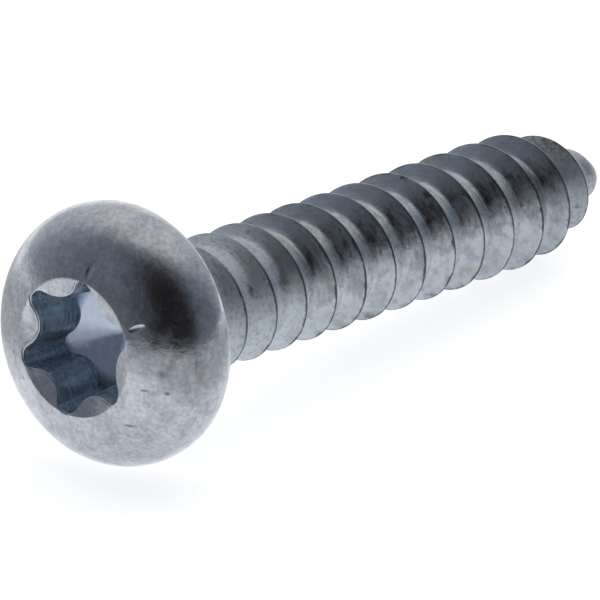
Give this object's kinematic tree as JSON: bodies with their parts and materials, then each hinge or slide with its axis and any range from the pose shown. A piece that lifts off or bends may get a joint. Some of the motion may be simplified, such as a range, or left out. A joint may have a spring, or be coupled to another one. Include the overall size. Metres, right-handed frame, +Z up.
{
  "type": "sheet metal screw",
  "caption": "Thread-forming screw with a domed pan head, a six-lobe drive recess, a coarse right-hand thread and a blunt rounded point.",
  "frame": {"origin": "on the ground, under the middle of the screw's bounding box, with the screw lying on its head's rim and its thread", "axes": "+X runs level from the head towards the point, and the screw's own axis dips about 6 degrees below it; +Z is up; +Y completes a right-handed frame"},
  "size_m": [0.028, 0.0094, 0.0093],
  "materials": {
    "zinc_plated_steel": "satin zinc plating with a slight blue tint, mottled on the head, with fine tool and rolling marks"
  },
  "bodies": {
    "root": {"screw": "zinc_plated_steel"}
  },
  "joints": []
}
